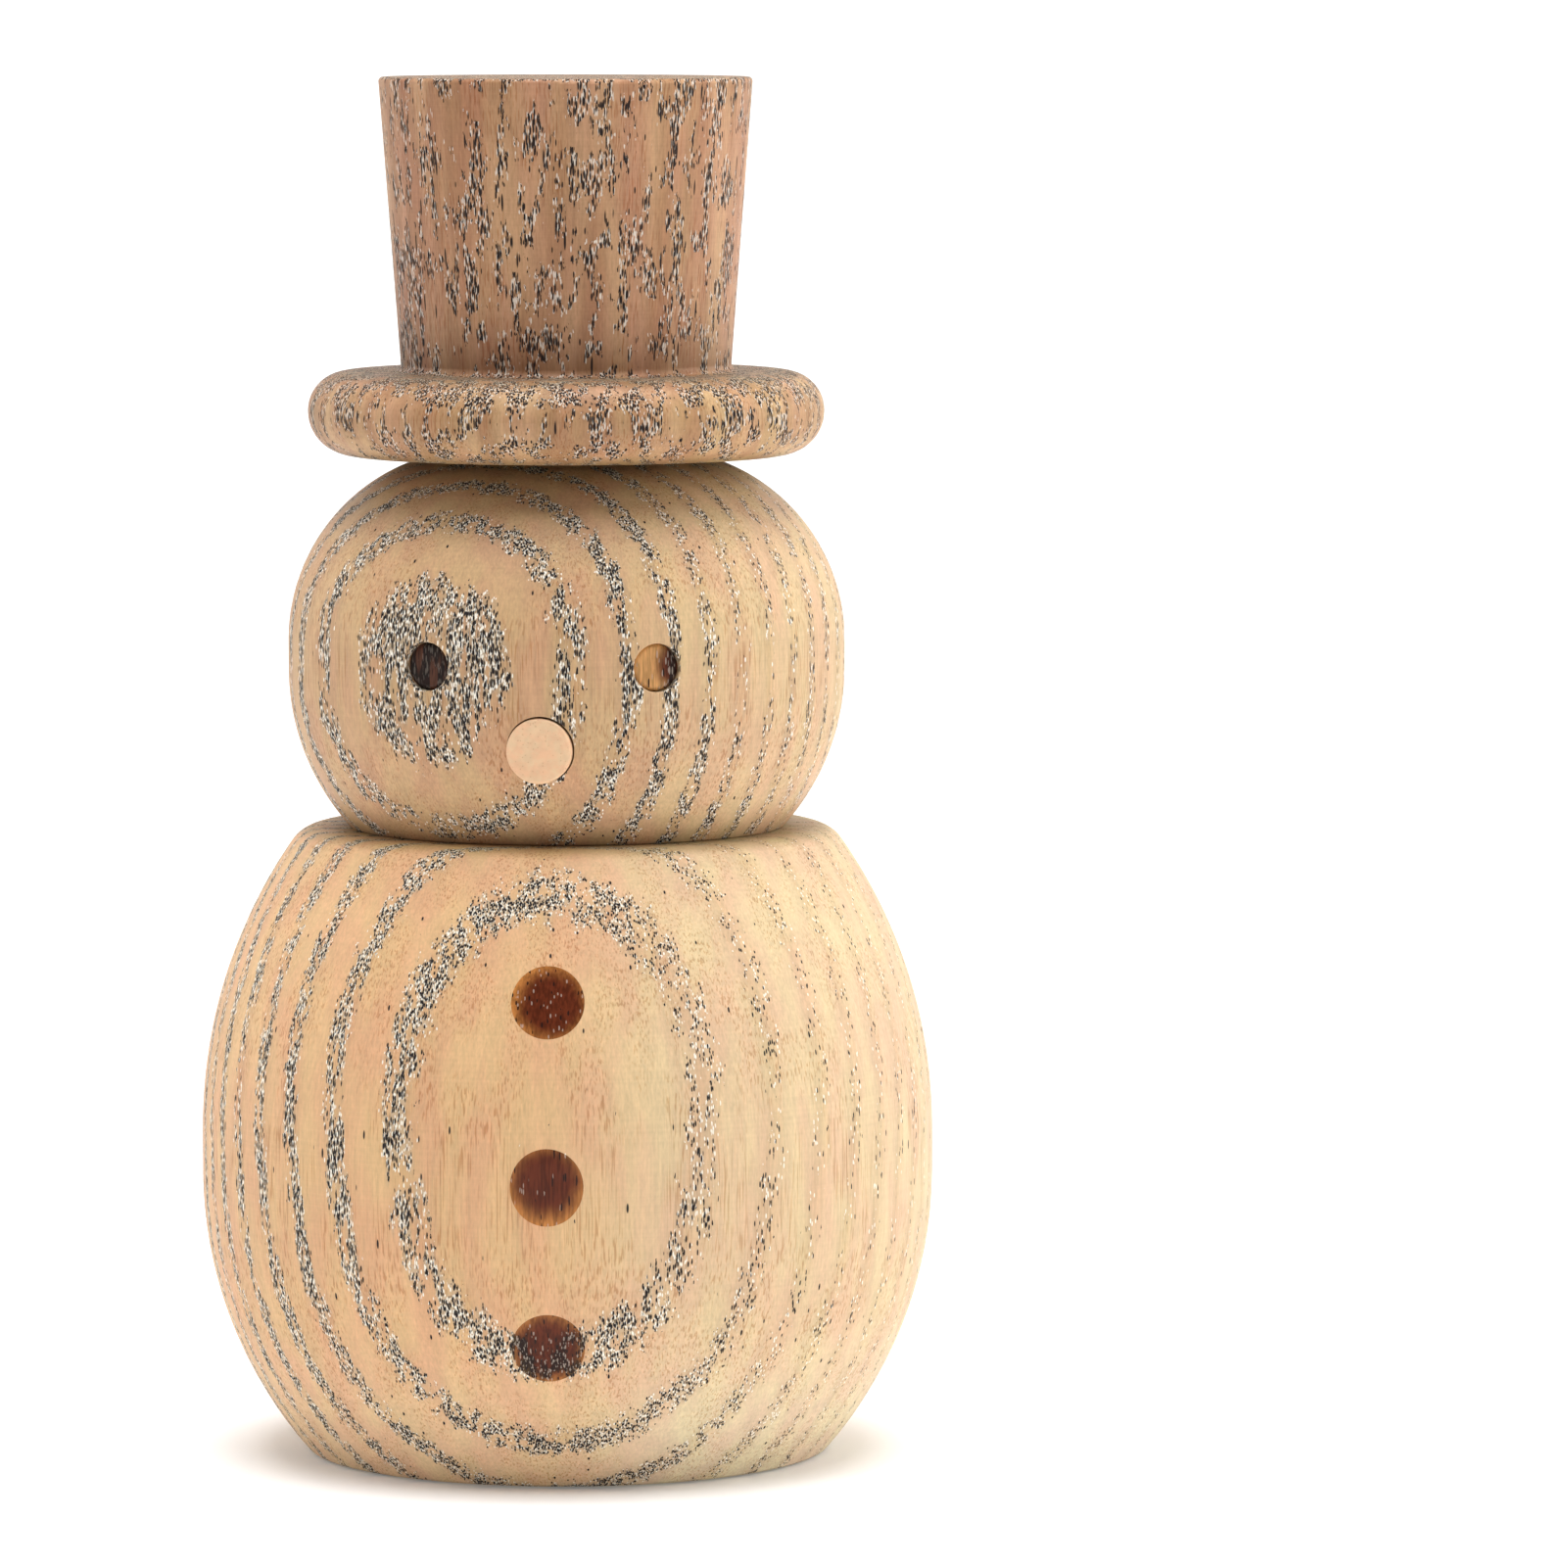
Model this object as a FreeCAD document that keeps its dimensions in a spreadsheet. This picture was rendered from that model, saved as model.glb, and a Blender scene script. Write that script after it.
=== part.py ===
import FreeCAD, Part
import math
import os

import Sketcher
from FreeCAD import Placement, Rotation, Vector

# A turned wooden snowman, 90 mm tall: a barrel body, a rounder head and a top hat, each turned from its
# own blank and stacked on two plain dowels. The eyes and buttons are brown lacquer set in the wood, the
# nose is a short dowel, and a sticky disc with its release paper is on the foot.
# Frame: origin at the middle of the underside, +Z up, the buttons face -Y. Millimetres and degrees.

SIZES = [
    ("liner_diameter", 30.6, "release paper, a little wider than the sticky disc for peeling"),
    ("liner_thickness", 0.1, "release paper"),
    ("pad_diameter", 30.0, "sticky disc"),
    ("pad_thickness", 0.3, "sticky disc"),
    ("recess_diameter", 31.4, "hollow under the foot for the sticky disc"),
    ("recess_depth", 0.3, "hollow under the foot"),
    ("body_height", 41.0, "foot to shoulder ledge"),
    ("body_radius", 23.97, "widest part of the body"),
    ("body_low_arc", 27.97, "radius of the arc below the widest part"),
    ("body_low_level", 18.4, "height where the lower arc ends"),
    ("body_high_arc", 33.13, "radius of the arc above the widest part"),
    ("body_high_level", 21.1, "height where the upper arc begins"),
    ("foot_round", 0.5, "rounding of the foot's edge"),
    ("shoulder_round", 2.2, "rounding of the ledge's edge"),
    ("head_height", 24.35, "flat to flat"),
    ("head_radius", 18.19, "widest part of the head"),
    ("head_low_arc", 15.42, "radius of the arc below the widest part"),
    ("head_low_level", 10.37, "height where the lower arc ends"),
    ("head_high_arc", 12.45, "radius of the arc above the widest part"),
    ("head_high_level", 12.2, "height where the upper arc begins"),
    ("head_round", 0.3, "rounding of both flats' edges"),
    ("brim_radius", 16.85, "widest part of the hat's brim"),
    ("brim_low_arc", 2.85, "radius of the brim's edge below the widest part"),
    ("brim_high_arc", 2.55, "radius of the brim's edge above the widest part"),
    ("crown_foot_radius", 10.75, "crown where it leaves the brim"),
    ("crown_top_radius", 12.2, "crown at its top"),
    ("crown_height", 19.15, "above the brim"),
    ("crown_cove", 0.5, "hollow corner between brim and crown"),
    ("crown_round", 0.3, "rounding of the crown's top edge"),
    ("neck_dowel_radius", 4.0, "glued in the body, the head turns on it"),
    ("neck_bore_in_body", 12.3, "depth of the glued bore"),
    ("neck_bore_in_head", 10.5, "depth of the turning bore"),
    ("hat_dowel_radius", 3.0, "glued in the hat, slides in the head"),
    ("hat_bore_in_head", 9.4, "depth of the sliding bore"),
    ("hat_bore_in_hat", 8.6, "depth of the glued bore"),
    ("end_gap", 0.5, "each dowel stops this far short of the bottom of its bores"),
    ("running_gap", 0.05, "radial clearance of a dowel that turns or slides"),
    ("dowel_chamfer", 0.5, "both ends of each dowel"),
    ("face_turn", -2.3, "the face is turned this far from the buttons"),
    ("eye_spread", 24.0, "each eye from the middle of the face"),
    ("eye_height", 11.65, "above the head's lower flat"),
    ("eye_radius", 1.55, "drilled eye"),
    ("eye_depth", 2.0, "drilled eye"),
    ("eye_recess", 0.38, "lacquer below the wood"),
    ("eye_dome", 0.35, "rounding of the lacquer's edge"),
    ("eye_bevel", 0.12, "bevel round each eye"),
    ("nose_height", 6.45, "above the head's lower flat"),
    ("nose_radius", 2.1, "nose dowel"),
    ("nose_gap", 0.07, "radial clearance of the nose in its bore"),
    ("nose_shift", 0.06, "how far the nose is glued in towards the lower left of its bore"),
    ("nose_depth", 6.0, "nose bore, from the head's surface"),
    ("nose_proud", 0.5, "how far the nose stands out at its middle"),
    ("nose_round", 0.25, "rounding of the nose's edges"),
    ("drill_overrun", 2.0, "how far outside the surface each level hole's drill starts"),
    ("button_radius", 2.5, "outline of each button on the surface"),
    ("button_depth", 0.8, "ball-nosed dimple, at its middle"),
    ("button_top_height", 31.85, "above the foot"),
    ("button_middle_height", 20.3, "above the foot"),
    ("button_bottom_height", 9.8, "above the foot"),
]

doc = FreeCAD.newDocument("snowman")
sheet = doc.addObject("Spreadsheet::Sheet", "Sizes")
for row, (alias, value, note) in enumerate(SIZES, start=1):
    sheet.set(f"A{row}", note)
    sheet.set(f"B{row}", str(value))
    sheet.setAlias(f"B{row}", alias)
doc.recompute()


def size(alias):
    return float(getattr(sheet, alias))


def evaluate(expression):
    return float(sheet.evalExpression(expression.replace("Sizes.", "")))


NEAR = 0.01  # two levels or radii closer than this are the same
FOOT = "Sizes.liner_thickness + Sizes.pad_thickness - Sizes.recess_depth"
NECK = FOOT + " + Sizes.body_height"
CROWN = NECK + " + Sizes.head_height"
foot_level = size("liner_thickness") + size("pad_thickness") - size("recess_depth")
neck_level = foot_level + size("body_height")
crown_level = neck_level + size("head_height")


# ---- sketches and features ---------------------------------------------------------------------------


def new_sketch(body, name, role, offset=None):
    """A sketch on one of the body's own origin planes."""
    sketch = body.newObject("Sketcher::SketchObject", name)
    plane = next(f for f in body.Origin.OriginFeatures if f.Role == role)
    sketch.AttachmentSupport = [(plane, "")]
    sketch.MapMode = "FlatFace"
    if offset is not None:
        sketch.AttachmentOffset = offset
    return sketch


def draw_outline(sketch, pieces, smooth):
    """Adds a closed outline, piece after piece; the ones named in smooth run tangent into the next one."""
    for piece in pieces:
        sketch.addGeometry(piece, False)
    for i in range(len(pieces)):
        kind = "Tangent" if i in smooth else "Coincident"
        sketch.addConstraint(Sketcher.Constraint(kind, i, 2, (i + 1) % len(pieces), 1))
    sketch.addConstraint(Sketcher.Constraint("Coincident", 0, 1, -1, 1))


def line(x0, z0, x1, z1):
    return Part.LineSegment(Vector(x0, z0, 0), Vector(x1, z1, 0))


def arc(x, z, radius, start, end):
    """An anticlockwise arc; start and end in degrees."""
    circle = Part.Circle(Vector(x, z, 0), Vector(0, 0, 1), radius)
    return Part.ArcOfCircle(circle, math.radians(start), math.radians(end))


def dimension(sketch, name, expression, kind, *where):
    """A named dimension, bound to the sheet."""
    index = sketch.addConstraint(Sketcher.Constraint(kind, *where, evaluate(expression)))
    sketch.renameConstraint(index, name)
    sketch.setExpression("Constraints." + name, expression)


def level(sketch, name, expression, geometry, point):
    """A dimension from the sketch's origin up to a point."""
    dimension(sketch, name, expression, "DistanceY", -1, 1, geometry, point)


def reach(sketch, name, expression, geometry, point):
    """A dimension from the axis out to a point."""
    dimension(sketch, name, expression, "DistanceX", -1, 1, geometry, point)


def revolve(body, sketch):
    feature = body.newObject("PartDesign::Revolution", body.Name + "_turned")
    feature.Profile = sketch
    feature.ReferenceAxis = (sketch, ["V_Axis"])
    feature.Angle = 360.0
    sketch.Visibility = False
    doc.recompute()
    return feature


def edges_where(feature, test):
    """Names of the feature's circular edges for which test(radius, height) holds."""
    found = []
    for i, edge in enumerate(feature.Shape.Edges, start=1):
        if isinstance(edge.Curve, Part.Circle) and test(edge.Curve.Radius, edge.Curve.Center.z):
            found.append(f"Edge{i}")
    if not found:
        raise RuntimeError(f"{feature.Name}: no edge to dress")
    return found


def dress(body, kind, name, test, cell):
    """A Fillet or Chamfer on the circular edges that pass the test, its size bound to a cell."""
    base = body.Tip
    feature = body.newObject("PartDesign::" + kind, name)
    feature.Base = (base, edges_where(base, test))
    feature.setExpression("Radius" if kind == "Fillet" else "Size", "Sizes." + cell)
    base.Visibility = False
    doc.recompute()
    return feature


def bore(body, name, mouth, radius, depth, downward):
    """A round blind hole on the axis, from the height of its mouth."""
    before = body.Shape.Volume
    sketch = new_sketch(body, name + "_circle", "XY_Plane")
    sketch.setExpression("AttachmentOffset.Base.z", mouth)
    sketch.addGeometry(Part.Circle(Vector(0, 0, 0), Vector(0, 0, 1), evaluate(radius)), False)
    sketch.addConstraint(Sketcher.Constraint("Coincident", 0, 3, -1, 1))
    dimension(sketch, "bore_radius", radius, "Radius", 0)
    pocket = body.newObject("PartDesign::Pocket", name)
    pocket.Profile = sketch
    pocket.Reversed = not downward
    pocket.setExpression("Length", depth)
    sketch.Visibility = False
    doc.recompute()
    if body.Shape.Volume >= before:
        raise RuntimeError(f"{name} cut nothing")
    return pocket


# ---- turned pieces -----------------------------------------------------------------------------------


def turned_barrel(name, prefix, height, at):
    """A flat-ended barrel whose side is a low arc, a short upright and a high arc, tangent to each other."""
    body = doc.addObject("PartDesign::Body", name)
    sketch = new_sketch(body, name + "_outline", "XZ_Plane")
    wide = size(prefix + "_radius")
    low, high = size(prefix + "_low_level"), size(prefix + "_high_level")
    low_arc, high_arc = size(prefix + "_low_arc"), size(prefix + "_high_arc")
    top = size(height)
    foot_angle = math.degrees(math.asin(low / low_arc))
    top_angle = math.degrees(math.asin((top - high) / high_arc))
    foot_x = wide - low_arc + low_arc * math.cos(math.radians(foot_angle))
    top_x = wide - high_arc + high_arc * math.cos(math.radians(top_angle))
    draw_outline(
        sketch,
        [
            line(0, 0, foot_x, 0),
            arc(wide - low_arc, low, low_arc, -foot_angle, 0),
            line(wide, low, wide, high),
            arc(wide - high_arc, high, high_arc, 0, top_angle),
            line(top_x, top, 0, top),
            line(0, top, 0, 0),
        ],
        smooth=(1, 2),
    )
    sketch.addConstraint(Sketcher.Constraint("Horizontal", 0))
    sketch.addConstraint(Sketcher.Constraint("Vertical", 2))
    sketch.addConstraint(Sketcher.Constraint("Horizontal", 4))
    sketch.addConstraint(Sketcher.Constraint("Vertical", 5))
    dimension(sketch, "low_arc", f"Sizes.{prefix}_low_arc", "Radius", 1)
    dimension(sketch, "high_arc", f"Sizes.{prefix}_high_arc", "Radius", 3)
    reach(sketch, "wide", f"Sizes.{prefix}_radius", 2, 1)
    level(sketch, "low", f"Sizes.{prefix}_low_level", 2, 1)
    level(sketch, "high", f"Sizes.{prefix}_high_level", 2, 2)
    level(sketch, "top", f"Sizes.{height}", 4, 2)
    revolve(body, sketch)
    body.setExpression("Placement.Base.z", at)
    return body


def turned_body():
    body = turned_barrel("body_blank", "body", "body_height", FOOT)
    dress(body, "Fillet", "foot_edge", lambda r, z: z < NEAR, "foot_round")
    dress(body, "Fillet", "shoulder_edge", lambda r, z: z > size("body_height") - NEAR, "shoulder_round")
    bore(body, "foot_recess", "0", "Sizes.recess_diameter / 2", "Sizes.recess_depth", False)
    bore(body, "neck_bore", "Sizes.body_height", "Sizes.neck_dowel_radius", "Sizes.neck_bore_in_body", True)
    return body


def turned_head():
    head = turned_barrel("head_blank", "head", "head_height", NECK)
    ends = (NEAR, size("head_height") - NEAR)
    dress(head, "Fillet", "head_edges", lambda r, z: z < ends[0] or z > ends[1], "head_round")
    turning = "Sizes.neck_dowel_radius + Sizes.running_gap"
    sliding = "Sizes.hat_dowel_radius + Sizes.running_gap"
    bore(head, "turning_bore", "0", turning, "Sizes.neck_bore_in_head", False)
    bore(head, "sliding_bore", "Sizes.head_height", sliding, "Sizes.hat_bore_in_head", True)
    return head


def turned_hat():
    """Crown and brim from one blank: a round-edged brim and a crown that widens upward."""
    hat = doc.addObject("PartDesign::Body", "hat")
    sketch = new_sketch(hat, "hat_outline", "XZ_Plane")
    wide, low, high = size("brim_radius"), size("brim_low_arc"), size("brim_high_arc")
    brim = low + high
    top = brim + size("crown_height")
    draw_outline(
        sketch,
        [
            line(0, 0, wide - low, 0),
            arc(wide - low, low, low, -90, 0),
            arc(wide - high, low, high, 0, 90),
            line(wide - high, brim, size("crown_foot_radius"), brim),
            line(size("crown_foot_radius"), brim, size("crown_top_radius"), top),
            line(size("crown_top_radius"), top, 0, top),
            line(0, top, 0, 0),
        ],
        smooth=(0, 1, 2),
    )
    for level_line in (0, 3, 5):
        sketch.addConstraint(Sketcher.Constraint("Horizontal", level_line))
    sketch.addConstraint(Sketcher.Constraint("Vertical", 6))
    dimension(sketch, "low_arc", "Sizes.brim_low_arc", "Radius", 1)
    dimension(sketch, "high_arc", "Sizes.brim_high_arc", "Radius", 2)
    reach(sketch, "wide", "Sizes.brim_radius", 2, 1)
    level(sketch, "widest", "Sizes.brim_low_arc", 2, 1)
    reach(sketch, "crown_foot", "Sizes.crown_foot_radius", 4, 1)
    reach(sketch, "crown_top", "Sizes.crown_top_radius", 4, 2)
    level(sketch, "top", "Sizes.brim_low_arc + Sizes.brim_high_arc + Sizes.crown_height", 4, 2)
    revolve(hat, sketch)
    hat.setExpression("Placement.Base.z", CROWN)
    corner = size("crown_foot_radius") + NEAR
    dress(hat, "Fillet", "crown_cove", lambda r, z: abs(z - brim) < NEAR and r < corner, "crown_cove")
    dress(hat, "Fillet", "crown_edge", lambda r, z: abs(z - top) < NEAR, "crown_round")
    bore(hat, "hat_bore", "0", "Sizes.hat_dowel_radius", "Sizes.hat_bore_in_hat", False)
    return hat


def dowel(name, radius, seam, below, above):
    """An upright dowel across a seam, a little short of the bottom of the bores below and above it."""
    body = doc.addObject("PartDesign::Body", name)
    sketch = new_sketch(body, name + "_section", "XY_Plane")
    sketch.addGeometry(Part.Circle(Vector(0, 0, 0), Vector(0, 0, 1), size(radius)), False)
    sketch.addConstraint(Sketcher.Constraint("Coincident", 0, 3, -1, 1))
    dimension(sketch, "dowel_radius", "Sizes." + radius, "Radius", 0)
    pad = body.newObject("PartDesign::Pad", name + "_length")
    pad.Profile = sketch
    pad.setExpression("Length", f"Sizes.{below} + Sizes.{above} - 2 * Sizes.end_gap")
    sketch.Visibility = False
    doc.recompute()
    dress(body, "Chamfer", name + "_ends", lambda r, z: True, "dowel_chamfer")
    body.setExpression("Placement.Base.z", f"{seam} - Sizes.{below} + Sizes.end_gap")
    return body


def disc(name, diameter, thickness, at):
    piece = doc.addObject("Part::Cylinder", name)
    piece.setExpression("Radius", f"Sizes.{diameter} / 2")
    piece.setExpression("Height", "Sizes." + thickness)
    piece.setExpression("Placement.Base.z", at)
    return piece


# ---- eyes, nose and buttons --------------------------------------------------------------------------


def surface(prefix, height):
    """Radius of a barrel's side at a height above its lower flat, and the tilt of its normal, upward."""
    wide = size(prefix + "_radius")
    low, high = size(prefix + "_low_level"), size(prefix + "_high_level")
    if low <= height <= high:
        return wide, 0.0
    middle, bend = (high, size(prefix + "_high_arc"))
    if height < low:
        middle, bend = (low, size(prefix + "_low_arc"))
    tilt = math.asin((height - middle) / bend)
    return wide - bend + bend * math.cos(tilt), math.degrees(tilt)


def outward(azimuth, tilt=0.0):
    """The unit direction away from the axis: azimuth 0 is -Y and 90 is +X, and tilt is upward."""
    a, t = math.radians(azimuth), math.radians(tilt)
    return Vector(math.sin(a) * math.cos(t), -math.cos(a) * math.cos(t), math.sin(t))


def lying(kind, name, azimuth, start, height, aside=Vector(0, 0, 0)):
    """A Part primitive whose own axis points outward, from a distance off the axis, moved aside."""
    piece = doc.addObject(kind, name)
    way = outward(azimuth)
    base = way * start + Vector(0, 0, height) + aside
    piece.Placement = Placement(base, Rotation(Vector(0, 0, 1), way))
    return piece


def level_drill(name, azimuth, floor, height, radius, depth):
    """The cylinder that drills a level hole from outside the head to the hole's floor."""
    drill = lying("Part::Cylinder", name + "_drill", azimuth, floor, height)
    drill.setExpression("Radius", radius)
    drill.setExpression("Height", f"Sizes.{depth} + Sizes.drill_overrun")
    return drill


def rounded(name, base, test, cell):
    """A copy of a round primitive with the circular edges that pass the test rounded."""
    piece = doc.addObject("Part::Fillet", name)
    piece.Base = base
    doc.recompute()
    radius = size(cell)
    edges = [(i, radius, radius) for i, e in enumerate(base.Shape.Edges, start=1) if test(e)]
    piece.Edges = edges
    base.Visibility = False
    return piece


def common(name, base, tool):
    piece = doc.addObject("Part::Common", name)
    piece.Base = base
    piece.Tool = tool
    return piece


def cut(name, base, tools):
    together = doc.addObject("Part::MultiFuse", name + "_cutters")
    together.Shapes = tools
    piece = doc.addObject("Part::Cut", name)
    piece.Base = base
    piece.Tool = together
    return piece


def is_round_end(edge, off_axis):
    """Whether an edge is a circle further than off_axis from the figure's axis."""
    middle = edge.BoundBox.Center
    return isinstance(edge.Curve, Part.Circle) and math.hypot(middle.x, middle.y) > off_axis


def drilled_eye(side, name):
    """The cutters of one drilled and bevelled eye, and the lacquer that lies in it."""
    azimuth = size("face_turn") + side * size("eye_spread")
    skin = surface("head", size("eye_height"))[0]
    height = neck_level + size("eye_height")
    floor = skin - size("eye_depth")
    drill = level_drill(name, azimuth, floor, height, "Sizes.eye_radius", "eye_depth")
    bevel = lying("Part::Cone", name + "_bevel", azimuth, skin - size("eye_bevel"), height)
    bevel.setExpression("Radius1", "Sizes.eye_radius")
    bevel.setExpression("Radius2", "Sizes.eye_radius + Sizes.eye_bevel * 2")
    bevel.setExpression("Height", "Sizes.eye_bevel * 2")
    lacquer = lying("Part::Cylinder", name + "_lacquer", azimuth, floor, height)
    lacquer.setExpression("Radius", "Sizes.eye_radius")
    lacquer.setExpression("Height", "Sizes.eye_depth - Sizes.eye_recess")
    doc.recompute()
    face = skin - size("eye_recess")
    rounded(name, lacquer, lambda e: is_round_end(e, face - NEAR), "eye_dome")
    return [drill, bevel]


def nose():
    """The nose's bore and its dowel, which lies level, ends square and leans to one side of the bore."""
    azimuth = size("face_turn")
    skin = surface("head", size("nose_height"))[0]
    height = neck_level + size("nose_height")
    floor = skin - size("nose_depth")
    drill = level_drill("nose", azimuth, floor, height, "Sizes.nose_radius + Sizes.nose_gap", "nose_depth")
    upper_right = (outward(azimuth + 90) + Vector(0, 0, 1)).normalize()
    aside = upper_right * -size("nose_shift")
    stick = lying("Part::Cylinder", "nose_stick", azimuth, floor, height, aside)
    stick.setExpression("Radius", "Sizes.nose_radius")
    stick.setExpression("Height", "Sizes.nose_depth + Sizes.nose_proud")
    doc.recompute()
    rounded("nose_dowel", stick, lambda e: isinstance(e.Curve, Part.Circle), "nose_round")
    return drill


def button_ball(name, cell):
    """The ball-nosed cutter of one button, sunk in square to the surface."""
    height = size(cell)
    skin, tilt = surface("body", height)
    reach_in = size("button_depth")
    ball_radius = (size("button_radius") ** 2 + reach_in**2) / (2 * reach_in)
    ball = doc.addObject("Part::Sphere", name + "_ball")
    ball.setExpression(
        "Radius", "(Sizes.button_radius ^ 2 + Sizes.button_depth ^ 2) / (2 * Sizes.button_depth)"
    )
    on_skin = outward(0) * skin + Vector(0, 0, foot_level + height)
    ball.Placement = Placement(on_skin + outward(0, tilt) * (ball_radius - reach_in), Rotation())
    return ball


# ---- the figure --------------------------------------------------------------------------------------

body_blank = turned_body()
head_blank = turned_head()
turned_hat()
dowel("neck_dowel", "neck_dowel_radius", NECK, "neck_bore_in_body", "neck_bore_in_head")
dowel("hat_dowel", "hat_dowel_radius", CROWN, "hat_bore_in_head", "hat_bore_in_hat")
disc("adhesive_pad", "pad_diameter", "pad_thickness", "Sizes.liner_thickness")
disc("release_liner", "liner_diameter", "liner_thickness", "0 mm")

cut("head", head_blank, [*drilled_eye(-1, "eye_left"), *drilled_eye(1, "eye_right"), nose()])

BUTTONS = ("button_top", "button_middle", "button_bottom")
balls = {name: button_ball(name, name + "_height") for name in BUTTONS}
for name, ball in balls.items():
    common(name, body_blank, ball)
cut("body", body_blank, list(balls.values()))

doc.recompute()

NODES = (
    "body",
    "head",
    "hat",
    "neck_dowel",
    "hat_dowel",
    "adhesive_pad",
    "release_liner",
    "nose_dowel",
    "eye_left",
    "eye_right",
    *BUTTONS,
)

# ---- checks and files --------------------------------------------------------------------------------

for thing in doc.Objects:
    bad = [word for word in thing.State if word in ("Invalid", "Error")]
    if bad:
        raise RuntimeError(f"{thing.Label} is {bad}")

os.makedirs("parts", exist_ok=True)
for name in NODES:
    shape = doc.getObjectsByLabel(name)[0].Shape
    if shape.isNull() or not shape.isValid() or not shape.Solids:
        raise RuntimeError(f"{name} has no valid solid")
    shape.exportStep(f"parts/{name}.step")
    box = shape.BoundBox
    print(
        f"{name:14s} solids {len(shape.Solids)} volume {shape.Volume:9.2f} "
        f"z {box.ZMin:6.2f} to {box.ZMax:6.2f}"
    )
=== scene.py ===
import math
from collections import namedtuple

import bpy
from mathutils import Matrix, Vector


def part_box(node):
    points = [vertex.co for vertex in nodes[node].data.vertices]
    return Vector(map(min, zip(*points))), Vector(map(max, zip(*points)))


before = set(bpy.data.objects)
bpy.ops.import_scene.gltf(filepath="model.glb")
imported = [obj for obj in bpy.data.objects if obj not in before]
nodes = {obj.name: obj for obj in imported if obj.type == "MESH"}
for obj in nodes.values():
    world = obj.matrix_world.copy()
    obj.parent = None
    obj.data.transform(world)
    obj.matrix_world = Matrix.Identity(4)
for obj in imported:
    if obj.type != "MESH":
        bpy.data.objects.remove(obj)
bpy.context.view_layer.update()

MM = 0.001

# A turned wooden snowman: an ash body and head, a brown hat, a pale nose, and lacquered eyes and
# buttons. Every piece keeps its CAD shape, and only its material is made here.

# ---- material building -------------------------------------------------------------------------------


class Graph:
    """One material's node tree. It works in millimetres, in the figure's frame at rest."""

    def __init__(self, name):
        self.material = bpy.data.materials.new(name)
        self.material.use_nodes = True
        self.tree = self.material.node_tree
        self.shader = self.tree.nodes["Principled BSDF"]
        coordinates = self.tree.nodes.new("ShaderNodeTexCoord").outputs["Object"]
        self.place = self.vector("SCALE", coordinates, Scale=1 / MM)
        facing = self.tree.nodes.new("ShaderNodeNewGeometry").outputs["Normal"]
        self.right, _, self.height = self.parts(self.place)
        self.upward = self.parts(facing)[2]

    def node(self, kind, inputs, **settings):
        node = self.tree.nodes.new("ShaderNode" + kind)
        for key, value in settings.items():
            setattr(node, key, value)
        for key, value in inputs.items():
            self.feed(node.inputs[key], value)
        return node

    def feed(self, socket, value):
        if isinstance(value, bpy.types.NodeSocket):
            self.tree.links.new(value, socket)
        elif socket.type == "RGBA" and len(value) == 3:
            socket.default_value = (*value, 1.0)
        else:
            socket.default_value = value

    def math(self, operation, *values, clamp=False):
        inputs = dict(enumerate(values))
        return self.node("Math", inputs, operation=operation, use_clamp=clamp).outputs[0]

    def vector(self, operation, *values, **named):
        node = self.node("VectorMath", {**dict(enumerate(values)), **named}, operation=operation)
        return node.outputs["Value" if operation in ("LENGTH", "DISTANCE", "DOT_PRODUCT") else "Vector"]

    def parts(self, vector):
        return self.node("SeparateXYZ", {"Vector": vector}).outputs

    def grain(self, across, along, shift=(0.0, 0.0, 0.0)):
        """Coordinates for a texture with features this wide and, along the fibres, this long."""
        moved = self.vector("ADD", self.place, shift)
        return self.vector("MULTIPLY", moved, (1 / across, 1 / across, 1 / along))

    def noise(self, where, detail=2.0, roughness=0.5):
        inputs = {"Vector": where, "Scale": 1.0, "Detail": detail, "Roughness": roughness}
        return self.node("TexNoise", inputs).outputs["Fac"]

    def cells(self, where):
        """Scattered points: the distance to the nearest one, and that one's random colour."""
        node = self.node("TexVoronoi", {"Vector": where, "Scale": 1.0})
        return node.outputs["Distance"], node.outputs["Color"]

    def ramp(self, value, low, high, start=0.0, end=1.0):
        """A smooth step from start, at low, to end, at high."""
        inputs = {"Value": value, "From Min": low, "From Max": high, "To Min": start, "To Max": end}
        return self.node("MapRange", inputs, interpolation_type="SMOOTHSTEP").outputs["Result"]

    def mix(self, amount, first, second, blend="MIX"):
        node = self.node("Mix", {0: amount}, data_type="RGBA", blend_type=blend)
        self.feed(node.inputs[6], first)
        self.feed(node.inputs[7], second)
        return node.outputs[2]

    def tint(self, colour, shade):
        """colour times a grey shade, which is a number around 1."""
        return self.vector("SCALE", colour, Scale=shade)

    def bump(self, height, depth):
        """Relief: height runs from 0 to 1, and depth is how many millimetres that is."""
        inputs = {"Height": height, "Distance": depth * MM, "Strength": 1.0}
        return self.node("Bump", inputs).outputs["Normal"]


# ---- wood --------------------------------------------------------------------------------------------

INNERMOST_RING = -0.70  # the wood nearest the pith counts as this ring
THIN_HIGHER = 0.12  # how far left the thinning of the pores moves per millimetre up
BRIM_THICKNESS = 5.4
PORE_DEPTH = 0.05
PAINTED_FOOT_LIGHT_TINT = (1.06, 1.20, 1.36)
BAND_TINT = (0.97, 0.92, 0.84)
END_GRAIN_AND_TOP_SHADE_TINT = (0.71, 0.74, 0.67)
PINK_TINT = (1.00, 0.92, 0.94)
YELLOW_TINT = (1.01, 1.05, 0.99)
DASH_TINT = (0.78, 0.64, 0.54)
PALE_BRIM_TINT = (1.20, 1.31, 1.27)
HAT_PAINTED_SIDE_LIGHT = (1.16, 1.22, 1.19)
NO_TINT = (1.0, 1.0, 1.0)
HAT_DARK = (0.365, 0.182, 0.092)
HAT_LIGHT = (0.468, 0.258, 0.142)
HAT_FLECK = (0.74, 0.67, 0.58)
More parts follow.
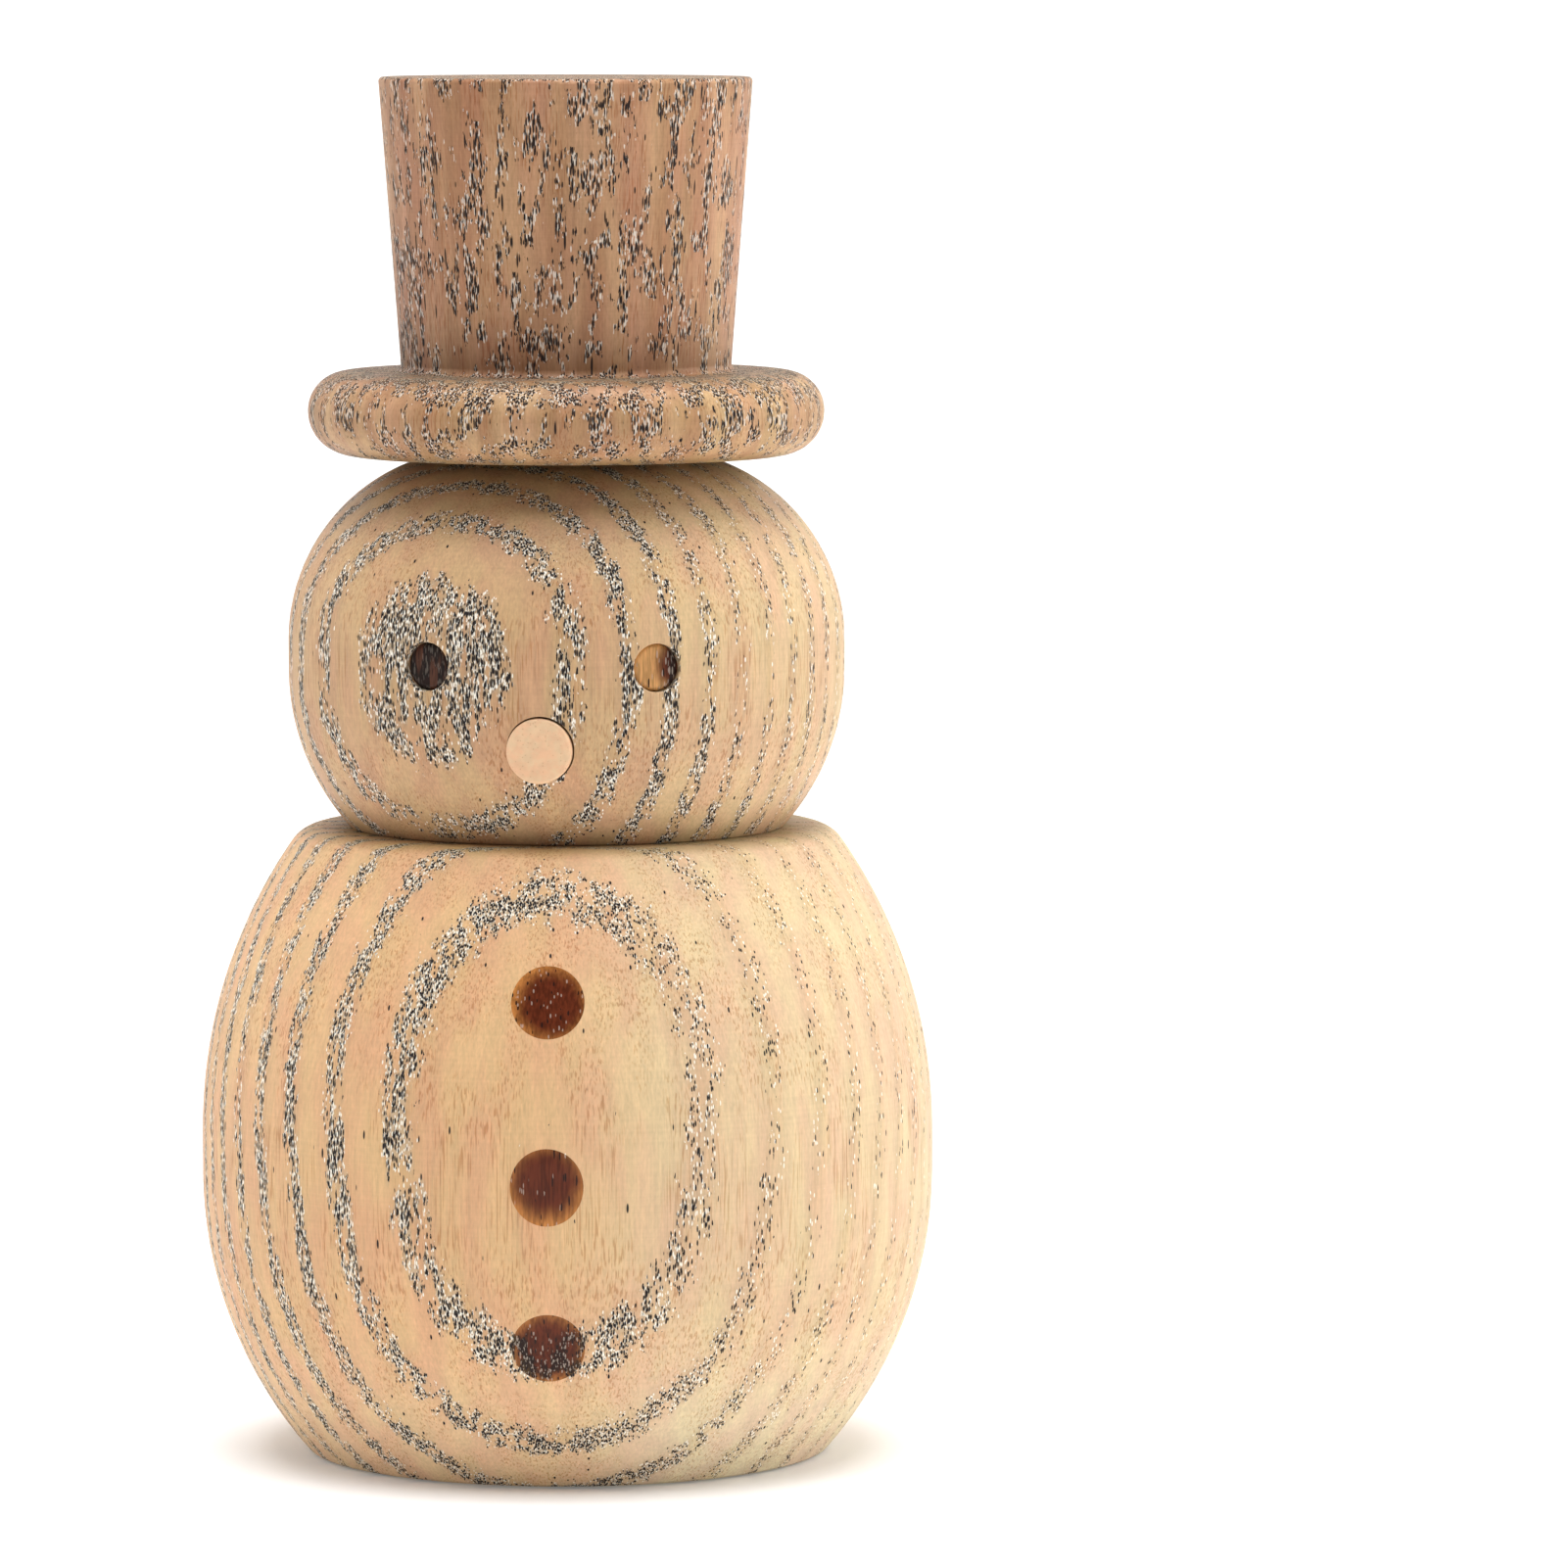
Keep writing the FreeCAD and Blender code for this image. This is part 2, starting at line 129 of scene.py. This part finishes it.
HAT_PORE = (0.020, 0.012, 0.010)
BEECH = (0.66, 0.45, 0.26)
BEECH_FLECK = (0.30, 0.16, 0.08)
BIRCH_PINK = (0.82, 0.50, 0.30)
BIRCH_PALE = (0.80, 0.55, 0.335)
BIRCH_PORE = (0.45, 0.22, 0.12)

# A blank's pith is a line outside it, at an azimuth (0 is the front, 90 the right), nearly upright.
# At the middle height it is pith_distance from the axis, and it comes nearer by lean per millimetre up.
# The growth rings are round that line. Each ring starts with a porous band.
# clumping: the noise where clumps of pores begin and are full, and how porous the wood between them is.
# thin_right: how far to the right the pores begin to thin out, and are down to thin_limit.
# painted paler towards the right (where it begins and is full, and its tint): painted light and sheen
# from the right side.
# how far up from the foot the wood is painted paler, as painted fill light at the foot, or 0.
Blank = namedtuple(
    "Blank",
    "pith_azimuth pith_distance lean middle radius first_band ring_width narrowing band_width "
    "band_strength clumping thin_right thin_limit sapwood sapwood_tint clean_wood band_wood fleck "
    "pore streaks sanded_foot",
)

BODY_BLANK = Blank(
    pith_azimuth=0.6,
    pith_distance=70.7,
    lean=0.113,
    middle=20.4,
    radius=23.97,
    first_band=2.9,
    ring_width=3.6,
    narrowing=0.0125,
    band_width=0.19,
    band_strength=1.1,
    clumping=(0.38, 0.54, 0.10),
    thin_right=(0.0, 17.0),
    thin_limit=0.15,
    sapwood=(-1.0, 9.5),
    sapwood_tint=(1.02, 1.20, 1.37),
    clean_wood=(0.690, 0.430, 0.230),
    band_wood=(0.54, 0.40, 0.26),
    fleck=(0.92, 0.87, 0.76),
    pore=(0.018, 0.014, 0.014),
    streaks=0.18,
    sanded_foot=12.0,
)
HEAD_BLANK = Blank(
    pith_azimuth=-26.0,
    pith_distance=67.9,
    lean=0.007,
    middle=53.0,
    radius=18.19,
    first_band=0.5,
    ring_width=2.8,
    narrowing=0.0058,
    band_width=0.20,
    band_strength=1.15,
    clumping=(0.40, 0.55, 0.08),
    thin_right=(2.0, 16.0),
    thin_limit=0.35,
    sapwood=(1.0, 12.0),
    sapwood_tint=(1.16, 1.29, 1.36),
    clean_wood=(0.560, 0.350, 0.190),
    band_wood=(0.46, 0.34, 0.22),
    fleck=(0.95, 0.90, 0.80),
    pore=(0.016, 0.012, 0.012),
    streaks=0.22,
    sanded_foot=0.0,
)


def growth_rings(g, blank):
    """The ring coordinate: whole in the middle of each porous band, and growing from the pith."""
    azimuth = math.radians(blank.pith_azimuth)
    reach_at_foot = blank.pith_distance + blank.lean * blank.middle
    reach = g.math("MULTIPLY_ADD", g.height, -blank.lean, reach_at_foot)
    pith = g.vector("SCALE", (math.sin(azimuth), -math.cos(azimuth), 0.0), Scale=reach)
    flat = g.vector("MULTIPLY", g.place, (1.0, 1.0, 0.0))
    depth = g.vector("DISTANCE", flat, pith)
    depth = g.math("SUBTRACT", depth, blank.pith_distance - blank.radius + blank.first_band)
    drift = g.math("SUBTRACT", g.noise(g.grain(14.0, 22.0), detail=1.0), 0.5)
    depth = g.math("MULTIPLY_ADD", drift, 0.7, depth)
    narrow = g.math("MULTIPLY_ADD", depth, blank.narrowing, 1.0)
    rings = g.math("MULTIPLY", g.math("DIVIDE", depth, blank.ring_width), narrow)
    return g.math("MAXIMUM", rings, INNERMOST_RING)


def porous_bands(g, blank, rings):
    """How near the middle of a porous band a place is, from 0 to 1, and how porous it is there."""
    ragged = g.math("SUBTRACT", g.noise(g.grain(0.8, 2.4), detail=3.0, roughness=0.65), 0.5)
    rings = g.math("MULTIPLY_ADD", ragged, 0.46, rings)
    off_centre = g.math("ABSOLUTE", g.math("SUBTRACT", rings, g.math("ROUND", rings)))
    band = g.ramp(off_centre, blank.band_width * 0.5, blank.band_width * 1.3, 1.0, 0.0)
    low, high, least = blank.clumping
    clump = g.ramp(g.noise(g.grain(0.6, 3.2, (7.0, 3.0, 1.0)), detail=2.0), low, high, least, 1.0)
    patch = g.ramp(g.noise(g.grain(4.0, 8.0, (7.0, 3.0, 1.0)), detail=1.0), 0.28, 0.55, 0.6, 1.0)
    across = g.vector("DOT_PRODUCT", g.place, (1.0, 0.0, THIN_HIGHER))
    across = g.math("SUBTRACT", across, THIN_HIGHER * blank.middle)
    thinning = g.ramp(across, *blank.thin_right, 1.0, blank.thin_limit)
    amount = g.math("MULTIPLY", g.math("MULTIPLY", band, clump), g.math("MULTIPLY", patch, thinning))
    return band, g.math("MULTIPLY", amount, blank.band_strength)


def vessels(g, across, along, share, size, shift):
    """Upright tubes in the wood: dots where the surface cuts across them, and dashes elsewhere."""
    distance, colour = g.cells(g.grain(across, along, shift))
    chosen = g.math("LESS_THAN", g.node("SeparateColor", {"Color": colour}).outputs["Red"], share)
    return g.math("MULTIPLY", g.ramp(distance, size * 0.7, size, 1.0, 0.0), chosen)


def pores_and_flecks(g, porous, along=0.45):
    """Open pores and the pale torn walls between them, both closer together in porous wood."""
    dark = vessels(g, 0.118, along, porous, 0.58, (2.0, 5.0, 9.0))
    light = vessels(g, 0.11, along * 0.8, g.math("MULTIPLY", porous, 0.9), 0.55, (4.1, 1.3, 6.2))
    return dark, light


def lathe_marks(g):
    return g.noise(g.grain(60.0, 0.16), detail=1.0)


def fibre_shade(g, amount):
    """A number around 1: broad and fine streaks along the fibres, and faint rings left by the lathe."""
    broad = g.noise(g.grain(1.1, 30.0), detail=2.0)
    fine = g.noise(g.grain(0.16, 3.0), detail=2.0, roughness=0.6)
    grit = g.noise(g.grain(0.12, 0.4, (6.0, 2.0, 8.0)), detail=1.0)
    lathe = lathe_marks(g)
    shade = g.math("MULTIPLY_ADD", g.math("SUBTRACT", broad, 0.5), amount * 1.3, 1.0)
    shade = g.math("MULTIPLY_ADD", g.math("SUBTRACT", fine, 0.5), amount * 2.0, shade)
    shade = g.math("MULTIPLY_ADD", g.math("SUBTRACT", grit, 0.5), amount * 1.2, shade)
    return g.math("MULTIPLY_ADD", g.math("SUBTRACT", lathe, 0.5), amount * 0.5, shade)


def stains(g, colour):
    """Broad pinkish and yellowish patches, and fine red-brown dashes along the fibres."""
    warmth = g.ramp(g.noise(g.grain(2.2, 9.0, (1.0, 8.0, 4.0)), detail=3.0), 0.32, 0.66)
    pink = g.vector("MULTIPLY", colour, PINK_TINT)
    yellow = g.vector("MULTIPLY", colour, YELLOW_TINT)
    colour = g.mix(warmth, pink, yellow)
    where = g.ramp(g.noise(g.grain(2.5, 8.0, (5.0, 5.0, 2.0)), detail=1.0), 0.40, 0.58)
    dash = g.ramp(g.noise(g.grain(0.11, 3.0, (3.0, 3.0, 3.0)), detail=1.0), 0.53, 0.66)
    brown = g.vector("MULTIPLY", colour, DASH_TINT)
    return g.mix(g.math("MULTIPLY", where, dash), colour, brown)


def end_grain_and_top_shade(g, colour):
    """Wood is darker where the surface cuts straight across the fibres; on level faces, such as the
    hat's top, this darkening is also painted shade against the strong light from above.
    """
    level = g.math("ABSOLUTE", g.upward)
    return g.mix(g.ramp(level, 0.75, 1.0), colour, g.vector("MULTIPLY", colour, END_GRAIN_AND_TOP_SHADE_TINT))


def finish_wood(g, colour, dark, light, roughness=0.55):
    """Gives the shader its colour, satin gloss and relief, with the pores sunk and the flecks proud."""
    colour = end_grain_and_top_shade(g, colour)
    fine = g.noise(g.grain(0.12, 2.5), detail=2.0)
    lathe = lathe_marks(g)
    height = g.math("MULTIPLY_ADD", dark, -1.0, 0.6)
    height = g.math("MULTIPLY_ADD", light, 0.2, height)
    height = g.math("MULTIPLY_ADD", fine, 0.25, height)
    height = g.math("MULTIPLY_ADD", lathe, 0.12, height)
    g.feed(g.shader.inputs["Base Color"], colour)
    g.feed(g.shader.inputs["Roughness"], g.math("MULTIPLY_ADD", dark, 0.3, roughness))
    g.feed(g.shader.inputs["Normal"], g.bump(height, PORE_DEPTH))
    g.shader.inputs["Specular IOR Level"].default_value = 0.3
    return g.material


def ash(name, blank):
    """Pale wood with porous bands, painted paler towards the right and, on the body, towards the foot:
    painted light from the right side and painted fill light at the foot.
    """
    g = Graph(name)
    rings = growth_rings(g, blank)
    band, porous = porous_bands(g, blank, rings)
    dark, light = pores_and_flecks(g, porous)
    dark = g.math("MAXIMUM", dark, vessels(g, 0.7, 3.0, 0.30, 0.12, (2.0, 5.0, 9.0)))
    late = g.ramp(g.math("FRACT", rings), 0.45, 0.95, 1.0, 0.93)
    # Paler towards the right: painted light and sheen from the right side.
    sapwood = g.vector("MULTIPLY", blank.clean_wood, blank.sapwood_tint)
    colour = g.mix(g.ramp(g.right, *blank.sapwood), blank.clean_wood, sapwood)
    colour = g.tint(stains(g, colour), late)
    # Paler towards the foot: painted fill light on the lower body.
    if blank.sanded_foot:
        paler = g.vector("MULTIPLY", colour, PAINTED_FOOT_LIGHT_TINT)
        colour = g.mix(g.ramp(g.height, 0.0, blank.sanded_foot, 1.0, 0.0), colour, paler)
    colour = g.mix(g.math("MULTIPLY", band, 0.5), colour, g.vector("MULTIPLY", colour, BAND_TINT))
    colour = g.mix(g.math("MINIMUM", porous, 1.0), colour, blank.band_wood)
    colour = g.tint(colour, fibre_shade(g, blank.streaks))
    colour = g.mix(light, colour, blank.fleck)
    colour = g.mix(dark, colour, blank.pore)
    return finish_wood(g, colour, dark, light)


def brown_hardwood(name):
    """The hat: brown wood with loose patches of short upright pores, and a paler brim. It is painted
    lighter towards the right as painted light, and darker low on the crown as painted shade in the
    crease above the brim, together with stain.
    """
    g = Graph(name)
    crown_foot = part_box("hat")[0].z / MM + BRIM_THICKNESS
    patch = g.noise(g.grain(1.0, 3.2, (3.0, 1.0, 6.0)), detail=3.0, roughness=0.65)
    patch = g.math("MULTIPLY_ADD", g.ramp(g.upward, 0.2, 0.8), 0.07, patch)
    porous = g.ramp(patch, 0.495, 0.585, 0.0, 1.0)
    dark, light = pores_and_flecks(g, porous, along=0.7)
    light = g.math("MULTIPLY", light, 0.85)
    long_pores = vessels(g, 0.5, 5.0, 0.55, 0.17, (1.0, 7.0, 3.0))
    short_pores = vessels(g, 0.35, 1.6, 0.20, 0.17, (8.0, 2.0, 5.0))
    dark = g.math("MAXIMUM", g.math("MAXIMUM", dark, long_pores), short_pores)
    broad = g.ramp(g.noise(g.grain(1.9, 24.0), detail=2.0), 0.33, 0.66)
    colour = g.mix(broad, HAT_DARK, HAT_LIGHT)
    brim_tint = g.mix(g.ramp(g.height, crown_foot - 0.8, crown_foot), PALE_BRIM_TINT, NO_TINT)
    # Lighter towards the right: painted light from the right side.
    hat_side_light = g.mix(g.ramp(g.right, 3.0, 12.0), NO_TINT, HAT_PAINTED_SIDE_LIGHT)
    colour = g.vector("MULTIPLY", colour, g.vector("MULTIPLY", brim_tint, hat_side_light))
    # Darker low on the crown: painted shade in the crease above the brim, together with stain.
    crown_foot_shade_and_stain = g.ramp(g.height, crown_foot, crown_foot + 5.0, 0.86, 1.0)
    colour = g.tint(stains(g, colour), g.math("MULTIPLY", fibre_shade(g, 0.26), crown_foot_shade_and_stain))
    colour = g.mix(light, colour, HAT_FLECK)
    colour = g.mix(dark, colour, HAT_PORE)
    return finish_wood(g, colour, dark, light)


def plain_beech(name):
    """Upright dowels: close wood with short fine flecks."""
    g = Graph(name)
    dark = vessels(g, 0.4, 1.6, 0.6, 0.12, (2.0, 5.0, 9.0))
    colour = g.tint(BEECH, fibre_shade(g, 0.12))
    colour = g.mix(dark, colour, BEECH_FLECK)
    return finish_wood(g, colour, dark, 0.0, roughness=0.5)


def level_birch(name):
    """The nose: a level dowel of pinkish close wood, so its face is end grain with hair-fine pores."""
    g = Graph(name)
    x, y, z = g.parts(g.place)
    g.place = g.node("CombineXYZ", {"X": x, "Y": z, "Z": y}).outputs[0]
    cloud = g.noise(g.grain(0.9, 6.0), detail=3.0, roughness=0.6)
    ring = g.noise(g.grain(0.5, 30.0, (4.0, 0.0, 0.0)), detail=1.0)
    colour = g.mix(g.ramp(cloud, 0.35, 0.65), BIRCH_PINK, BIRCH_PALE)
    colour = g.tint(colour, g.ramp(ring, 0.3, 0.7, 0.96, 1.03))
    pores = vessels(g, 0.16, 2.0, 0.30, 0.30, (1.0, 1.0, 1.0))
    colour = g.mix(g.math("MULTIPLY", pores, 0.30), colour, BIRCH_PORE)
    g.feed(g.shader.inputs["Base Color"], colour)
    g.feed(g.shader.inputs["Normal"], g.bump(g.math("SUBTRACT", cloud, pores), 0.02))
    g.shader.inputs["Roughness"].default_value = 0.5
    g.shader.inputs["Specular IOR Level"].default_value = 0.3
    return g.material


# ---- lacquer, foam and paper -------------------------------------------------------------------------

BROWN = (0.100, 0.021, 0.008)
DARK_BROWN = (0.085, 0.034, 0.020)
AMBER = (0.50, 0.195, 0.050)
PAINTED_LIGHT_HONEY = (0.58, 0.300, 0.110)
SOOT_TINT = (0.15, 0.26, 0.38)
TORN_FIBRE_AND_GLINT = (0.56, 0.46, 0.38)
LACQUERED_PORE = (0.018, 0.008, 0.006)
BUTTON_RADIUS = 2.5
FOAM = (0.78, 0.78, 0.75)
RELEASE_PAPER = (0.66, 0.67, 0.68)


def lacquer(name, node, radius, blank, thick_and_shaded, core, rim, flecks=0.5):
    """Brown lacquer in a dimple, darker where more of it lies, with the wood's pores showing through
    it.

    The offset gives where it is darkest, as millimetres to the right of and above the middle: on the
    buttons that is where the lacquer lies thickest, and on the right eye it is painted shade from the
    hole's wall. The last number gives how strongly the pale torn wood shows, together with painted
    glints off small pits in the lacquer.
    """
    g = Graph(name)
    low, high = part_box(node)
    middle = (low + high) / 2 / MM
    thickest_and_shaded_spot = (middle.x + thick_and_shaded[0], middle.y, middle.z + thick_and_shaded[1])
    away = g.vector("DISTANCE", g.place, thickest_and_shaded_spot)
    wander = g.math("SUBTRACT", g.noise(g.grain(0.9, 1.4), detail=3.0, roughness=0.6), 0.5)
    away = g.math("MULTIPLY_ADD", wander, radius * 0.35, away)
    thin_and_lit = g.ramp(away, radius * 0.50, radius * 1.20)
    fibre = g.ramp(g.noise(g.grain(0.16, 1.6), detail=2.0), 0.35, 0.65, 0.75, 1.25)
    colour = g.tint(g.mix(g.math("POWER", thin_and_lit, 1.5), core, rim), fibre)
    porous = porous_bands(g, blank, growth_rings(g, blank))[1]
    dark, light = pores_and_flecks(g, g.math("MULTIPLY_ADD", porous, 0.9, 0.06), along=0.7)
    soot = g.vector("MULTIPLY", colour, SOOT_TINT)
    colour = g.mix(g.math("MINIMUM", g.math("MULTIPLY", porous, 1.1), 1.0), colour, soot)
    # Pale flecks: the torn wood under the lacquer, and painted glints off small pits in its surface.
    colour = g.mix(g.math("MULTIPLY", light, flecks), colour, TORN_FIBRE_AND_GLINT)
    colour = g.mix(dark, colour, LACQUERED_PORE)
    g.feed(g.shader.inputs["Base Color"], colour)
    g.shader.inputs["Roughness"].default_value = 0.3
    g.shader.inputs["Specular IOR Level"].default_value = 0.1
    g.shader.inputs["Coat Weight"].default_value = 0.12
    g.shader.inputs["Coat Roughness"].default_value = 0.08
    g.feed(g.shader.inputs["Coat Normal"], g.bump(g.math("SUBTRACT", 1.0, dark), 0.03))
    return g.material


def button_lacquer(name, node, thick_and_shaded):
    return lacquer(name, node, BUTTON_RADIUS, BODY_BLANK, thick_and_shaded, BROWN, AMBER)


def foam(name):
    """The sticky disc: off-white foam with fine cells."""
    g = Graph(name)
    cells = g.noise(g.grain(0.12, 0.12), detail=2.0)
    colour = g.tint(FOAM, g.ramp(cells, 0.2, 0.8, 0.9, 1.05))
    g.feed(g.shader.inputs["Base Color"], colour)
    g.feed(g.shader.inputs["Normal"], g.bump(cells, 0.03))
    g.shader.inputs["Roughness"].default_value = 0.7
    return g.material


def release_paper(name):
    """Smooth grey coated paper, a little mottled."""
    g = Graph(name)
    mottle = g.noise(g.grain(1.5, 1.5), detail=3.0)
    fibre = g.noise(g.grain(0.2, 0.2), detail=2.0)
    colour = g.tint(RELEASE_PAPER, g.ramp(mottle, 0.2, 0.8, 0.96, 1.03))
    g.feed(g.shader.inputs["Base Color"], colour)
    g.feed(g.shader.inputs["Normal"], g.bump(fibre, 0.01))
    g.shader.inputs["Roughness"].default_value = 0.35
    return g.material


def paint(node, material):
    for slot in nodes[node].material_slots:
        slot.material = material


paint("body", ash("body_ash", BODY_BLANK))
paint("head", ash("head_ash", HEAD_BLANK))
paint("hat", brown_hardwood("hat_hardwood"))
dowel_beech = plain_beech("dowel_beech")
paint("neck_dowel", dowel_beech)
paint("hat_dowel", dowel_beech)
paint("nose_dowel", level_birch("nose_birch"))
paint("button_top", button_lacquer("top_lacquer", "button_top", (0.25, -0.15)))
paint("button_middle", button_lacquer("middle_lacquer", "button_middle", (0.0, 0.35)))
paint("button_bottom", button_lacquer("bottom_lacquer", "button_bottom", (0.0, 0.1)))
left_eye = lacquer("left_lacquer", "eye_left", 2.1, HEAD_BLANK, (0.0, 0.0), DARK_BROWN, BROWN, 0.15)
# The right eye is painted light and shade: a honey side where light would shine into the lacquer from
# the left, and painted shade on its right from the hole's wall.
right_eye_lit_lacquer = lacquer("right_lit_lacquer", "eye_right", 1.8, HEAD_BLANK, (1.9, 0.1), BROWN, PAINTED_LIGHT_HONEY)
paint("eye_left", left_eye)
paint("eye_right", right_eye_lit_lacquer)
paint("adhesive_pad", foam("tacky_foam"))
paint("release_liner", release_paper("grey_release_paper"))

# ---- floor, light and camera -------------------------------------------------------------------------

FIGURE_MIDDLE = (0.0, 0.0, 0.045)


def pale_floor(reach, front, back, rise, bend):
    """A faintly lit floor that runs back and curves up into a backdrop."""
    steps = 16
    section = [(-front, 0.0), (back - bend, 0.0)]
    for i in range(1, steps + 1):
        turn = math.radians(90) * i / steps
        section.append((back - bend + bend * math.sin(turn), bend - bend * math.cos(turn)))
    section.append((back, rise))
    points = [(x, y, z) for y, z in section for x in (-reach, reach)]
    faces = [(2 * i, 2 * i + 1, 2 * i + 3, 2 * i + 2) for i in range(len(section) - 1)]
    mesh = bpy.data.meshes.new("pale_floor")
    mesh.from_pydata(points, [], faces)
    mesh.shade_smooth()
    floor = bpy.data.objects.new("pale_floor", mesh)
    bpy.context.scene.collection.objects.link(floor)
    g = Graph("pale_floor")
    g.shader.inputs["Base Color"].default_value = (0.92, 0.92, 0.92, 1.0)
    g.shader.inputs["Roughness"].default_value = 0.8
    g.shader.inputs["Emission Color"].default_value = (1.0, 1.0, 1.0, 1.0)
    g.shader.inputs["Emission Strength"].default_value = 0.12
    mesh.materials.append(g.material)


def soft_box(name, position, width, power, aim=FIGURE_MIDDLE):
    light = bpy.data.lights.new(name, "AREA")
    light.shape = "SQUARE"
    light.size = width
    light.energy = power
    lamp = bpy.data.objects.new(name, light)
    lamp.location = position
    lamp.rotation_euler = (Vector(aim) - Vector(position)).to_track_quat("-Z", "Y").to_euler()
    bpy.context.scene.collection.objects.link(lamp)


def surroundings(strength):
    """Even white light from all round."""
    world = bpy.data.worlds.new("surroundings")
    world.use_nodes = True
    background = world.node_tree.nodes["Background"]
    background.inputs["Color"].default_value = (1.0, 1.0, 1.0, 1.0)
    background.inputs["Strength"].default_value = strength
    bpy.context.scene.world = world


def camera(azimuth, distance, height, pitch, yaw, lens):
    """A camera on a circle round the figure; yaw turns it to the right of the figure's axis."""
    data = bpy.data.cameras.new("camera")
    data.lens = lens
    data.sensor_width = 36.0
    data.clip_start = 0.01
    view = bpy.data.objects.new("camera", data)
    turn = math.radians(azimuth)
    view.location = (math.sin(turn) * distance, -math.cos(turn) * distance, height)
    view.rotation_euler = (math.radians(90 - pitch), 0.0, math.radians(azimuth - yaw))
    bpy.context.scene.collection.objects.link(view)
    bpy.context.scene.camera = view


pale_floor(reach=3.0, front=3.0, back=1.1, rise=1.2, bend=0.35)
soft_box("top_light", (0.0, -0.10, 0.70), 0.5, 5.0)
soft_box("right_light", (1.54, 0.44, 0.44), 1.76, 24.0)
soft_box("left_light", (-1.54, 0.44, 0.44), 1.76, 13.8)
soft_box("front_light", (0.70, -1.60, 0.16), 1.0, 4.6)
soft_box("backdrop_light", (0.0, 0.15, 1.1), 0.8, 8.5, aim=(0.0, 1.10, 0.35))
surroundings(0.06)
camera(azimuth=3.25, distance=0.587, height=0.0975, pitch=5.23, yaw=1.387, lens=206.49)
bpy.context.scene.view_settings.view_transform = "Standard"
